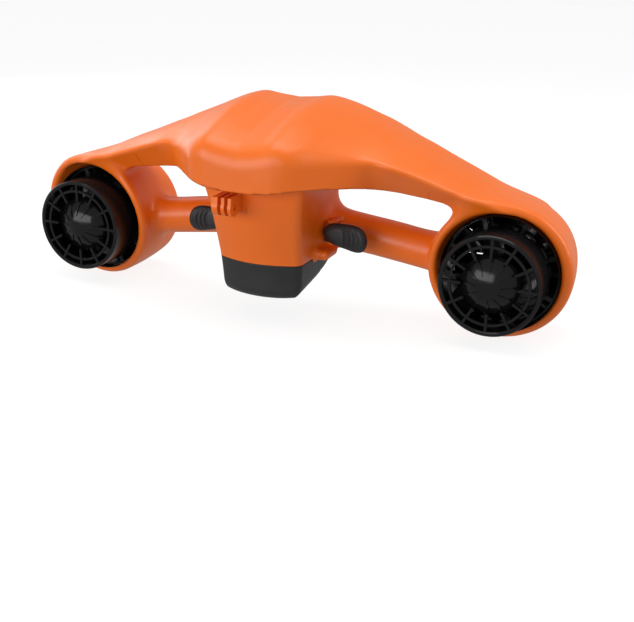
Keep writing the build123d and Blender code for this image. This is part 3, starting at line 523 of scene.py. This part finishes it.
ORANGE = (0.86, 0.155, 0.006)
finishes = {
    "orange_shell": finish_material("orange_shell", ORANGE, 0.36, 0.045, 9, 1500, 0.03,
                                    specular=0.5, scuff=0.08),
    "black_gloss": finish_material("black_gloss", (0.006, 0.006, 0.007), 0.16, 0.25, 20, 900,
                                   0.012, 0.05, specular=0.3, scuff=0.02),
    "battery_case": finish_material("battery_case", (0.016, 0.016, 0.017), 0.42, 0.12, 12,
                                    1600, 0.05, 0.07, scuff=0.05),
    "latch_black": finish_material("latch_black", (0.010, 0.010, 0.011), 0.35, 0.15, 30,
                                   1500, 0.04, scuff=0.05),
    "trigger_grip": finish_material("trigger_grip", (0.014, 0.014, 0.016), 0.52, 0.15, 30,
                                    1300, 0.08, 0.08, scuff=0.05),
    "seal_rubber": finish_material("seal_rubber", (0.018, 0.018, 0.018), 0.72, 0.2, 30, 900,
                                   0.05),
    "steel": finish_material("steel", (0.56, 0.57, 0.58), 0.28, 0.06, 40, 500, 0.02,
                             metallic=1.0, waves=0.6, wave_scale=420),
    "motor_iron": finish_material("motor_iron", (0.20, 0.20, 0.21), 0.42, 0.1, 40, 500, 0.03,
                                  metallic=1.0, waves=0.8, wave_scale=600),
    "copper": finish_material("copper", (0.72, 0.27, 0.11), 0.3, 0.12, 60, 600, 0.05,
                              metallic=1.0, waves=1.2, wave_scale=500),
    "contact_brass": finish_material("contact_brass", (0.78, 0.56, 0.20), 0.25, 0.08, 60,
                                     600, 0.02, metallic=1.0),
    "cell_wrap": finish_material("cell_wrap", (0.02, 0.16, 0.30), 0.3, 0.08, 30, 900, 0.02),
    "circuit_board": finish_material("circuit_board", (0.006, 0.09, 0.035), 0.35, 0.35, 160,
                                     700, 0.03),
    "bay_grey": finish_material("bay_grey", (0.045, 0.047, 0.05), 0.5, 0.08, 20, 1300, 0.04,
                                scuff=0.08),
    "foam_white": finish_material("foam_white", (0.72, 0.71, 0.67), 0.9, 0.05, 60, 260, 0.6),
    "cable_black": finish_material("cable_black", (0.012, 0.012, 0.012), 0.5, 0.1, 40, 900,
                                   0.03),
    "window_clear": finish_material("window_clear", (0.02, 0.022, 0.025), 0.12, 0.2, 30, 900,
                                    0.005, 0.03, coat=0.5),
    "floor": finish_material("floor", (0.20, 0.20, 0.20), 0.75, 0.006, 3, 60, 0.01,
                             specular=0.1),
}
floor_shader = finishes["floor"].node_tree.nodes["Principled BSDF"]
floor_shader.inputs["Emission Color"].default_value = (1, 1, 1, 1)
floor_shader.inputs["Emission Strength"].default_value = 0.85
studio_floor.data.materials.append(finishes["floor"])


def dress(obj, slot):
    obj.data.materials.clear()
    obj.data.materials.append(finishes[slot])


for row in frame["record"]["subparts"]:
    dress(frame["nodes"][row["node"]], row["material_slot"])


def ring_mesh(name, outline, x, segments=160):
    """An outline of (radius, depth) turned about a thruster's axis."""
    angles = np.linspace(0, 2 * math.pi, segments, endpoint=False)
    pts = np.array(outline, float)
    verts = np.array([(x + r * math.cos(a), y, r * math.sin(a)) for a in angles for r, y in pts])
    n, m = segments, len(pts)
    faces = np.array([(i * m + j, i * m + (j + 1) % m, (i + 1) % n * m + (j + 1) % m,
                       (i + 1) % n * m + j) for i in range(n) for j in range(m)])
    obj = new_mesh(name, verts, faces)
    obj.data.shade_smooth()
    obj.data.set_sharp_from_angle(angle=math.radians(35))
    return obj


def piece(obj, ride_on, slot, *nodes):
    dress(obj, slot)
    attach(obj, ride_on)
    if nodes:
        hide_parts(*nodes)
    return obj


# ------------------------------------------------------------------ the orange mouldings
WALL = 3.0
HOOD_WALL = 5.5
END = 139.5                 # the wing's moulding stops here, against the shroud's
SEAM_LAP = 0.15             # neighbouring mouldings overlap by this much, so no gap shows
SCREWS = [(54, 42), (94, 58), (128, 40)]
BUTTON_Z, BEZEL_R, LED_Z = 101.0, 12.0, 82.5


def shell_holes(p):
    """Where the switch and the status window go through the back, and the floor screws."""
    q = mirrored(p)
    bezel = np.maximum(np.hypot(p[0], p[2] - BUTTON_Z) - BEZEL_R, 40 - p[1])
    slot_x = np.maximum(q[0] - 8.0, 0)
    window = np.maximum(np.hypot(slot_x, p[2] - LED_Z) - 3.0, 40 - p[1])
    f = np.minimum(bezel, window)
    for x, y in SCREWS:
        hole = np.maximum(np.hypot(q[0] - x, q[1] - y) - 2.8, floor_line(p) - 1.7)
        f = np.minimum(f, hole)
    return -f


def hollow(p):
    """The hood's inside."""
    return -(body(p) + HOOD_WALL)


hood = shape("hood", [body, hollow, shell_holes, lambda p: -floor_line(p),
                      lambda p: np.abs(p[0]) - END - SEAM_LAP],
             (-END, -60, 56), (END, 92, 140), 1.5)
piece(hood, "hull", "orange_shell", "shell_upper", "shell_floor")

for name, mirror in (("left", False), ("right", True)):
    duct = shape("duct_" + name, [body, lambda p: END - np.abs(p[0])],
                 (END, -1, -62), (264, 100, 92), 1.5, mirror)
    piece(duct, "hull", "orange_shell", "shroud_" + name)


# ------------------------------------------------------------------ triggers
def trigger(p):
    """A thumb-shaped paddle, deeper at its outer end, with curved finger grooves."""
    x, y, z = p
    along = np.clip((x - 44.5) / 43, 0, 1)
    middle, half = 21.6 - 4.4 * along**1.5, 9.2 + 4.6 * along
    outline = smooth_max(np.abs(z - middle) - half, np.abs(x - 66) - 21.6, 15)
    front = 12.2 + 1.6 * (1 - along) + 0.010 * (z - middle) ** 2
    f = smooth_max(outline, front - y, 7)
    f = smooth_max(f, y - 20.4, 3)
    bend = 0.035 * (z - middle) ** 2
    for groove in (68.6, 73.0, 77.4, 81.8):
        cut = np.hypot(x - groove + bend, (y - front + 0.2) * 0.8) - 1.15
        f = smooth_max(f, -cut, 0.8)
    stem = box_field(p, (PIVOT[0], 21.5, PIVOT[2] - 1.2), (8.4, 9, 11.6), 1)
    barrel = rod_field(p, PIVOT[0], PIVOT[1], PIVOT[2] - 1.2, 4.2, 5.8)
    return smooth_min(f, np.minimum(stem, barrel), 0.6)


PIN_BORE_R = 1.55


def pin_bore(p):
    return PIN_BORE_R - np.hypot(p[0] - PIVOT[0], p[1] - PIVOT[1])


for name, mirror in (("left", False), ("right", True)):
    paddle = shape("paddle_" + name, [trigger, pin_bore], (43, 10, 1), (90, 31, 36), 0.7, mirror)
    piece(paddle, "trigger_" + name, "trigger_grip", "trigger_" + name)


# ------------------------------------------------------------------ inside the ducts
def vane_ring(name, centre_x, side, count, hub_r, tip_r, front, back, twist, thick):
    """Curved guide vanes from the motor can out to the liner."""
    verts, faces = [], []
    rows, steps = 5, 9
    for k in range(count):
        base = len(verts)
        for face in (-1, 1):
            for i in range(rows):
                r = hub_r + (tip_r - hub_r) * i / (rows - 1)
                for j in range(steps):
                    t = j / (steps - 1)
                    body_t = thick * math.sin(math.pi * min(0.97, 0.12 + 0.85 * t)) / 2
                    a = (2 * math.pi * k / count + twist * t * t * side + face * body_t / r)
                    verts.append((centre_x + r * math.cos(a), front + (back - front) * t,
                                  r * math.sin(a)))
        span = rows * steps
        for i in range(rows - 1):
            for j in range(steps - 1):
                a = base + i * steps + j
                quad = (a, a + 1, a + steps + 1, a + steps)
                faces += [quad[::-1], tuple(v + span for v in quad)]
        ends = [(i * steps, (i + 1) * steps) for i in range(rows - 1)]
        ends += [((i + 1) * steps + steps - 1, i * steps + steps - 1) for i in range(rows - 1)]
        ends += [(j + 1, j) for j in range(steps - 1)]
        ends += [((rows - 1) * steps + j, (rows - 1) * steps + j + 1) for j in range(steps - 1)]
        faces += [(base + a, base + b, base + b + span, base + a + span) for a, b in ends]
    obj = new_mesh(name, np.array(verts), np.array(faces))
    obj.data.shade_smooth()
    obj.data.set_sharp_from_angle(angle=math.radians(40))
    return obj


for name, side in (("left", 1), ("right", -1)):
    vanes = vane_ring("guide_vanes_" + name, side * HALF_SPAN, side, 13, 21.8, 50.0, 52, 92,
                      0.75, 2.0)
    piece(vanes, "hull", "black_gloss")

# a glossy liner sleeves each bore behind its lip
for name, side in (("left", 1), ("right", -1)):
    sleeve = ring_mesh("duct_liner_" + name, [(50.9, 33.0), (50.9, 95), (49.7, 95), (49.7, 34.6),
                                              (50.1, 33.4)], side * HALF_SPAN)
    piece(sleeve, "hull", "black_gloss")


def pod_cavity(p):
    """The battery bay, and a tube out of it along each hand bar."""
    tube = np.hypot(p[1] - bar_y(np.abs(p[0])), p[2] - bar_z(np.abs(p[0]))) - 8.0
    tube = np.maximum(tube, 36 - np.abs(p[0]))
    return -np.minimum(np.maximum(pod(p, WALL), -40 - p[2]), tube)


def latch_hole(p):
    return -box_field(mirrored(p), (36.5, 50, -1), (21, 8.0, 7.0), 0.4)


def battery_seat(p):
    return -np.maximum(battery_cut(p, 0.12), pod(p, -0.6))


grip = shape("grip_frame", [body, pod_cavity, latch_hole, battery_seat,
                            floor_line, lambda p: np.abs(p[0]) - END - SEAM_LAP],
             (-END, -42, -18), (END, 82, 75), 1.5)
piece(grip, "hull", "orange_shell", "pod_housing", "hand_bar_left", "hand_bar_right")


def cap_cavity(p):
    return -np.maximum(pod(p, WALL + 0.5), battery(p) + WALL)


lid = shape("battery_lid", [battery, cap_cavity, latch_hole], (-40, -28, -38), (40, 64, 10), 1.0)
piece(lid, "battery", "battery_case", "battery_cap")
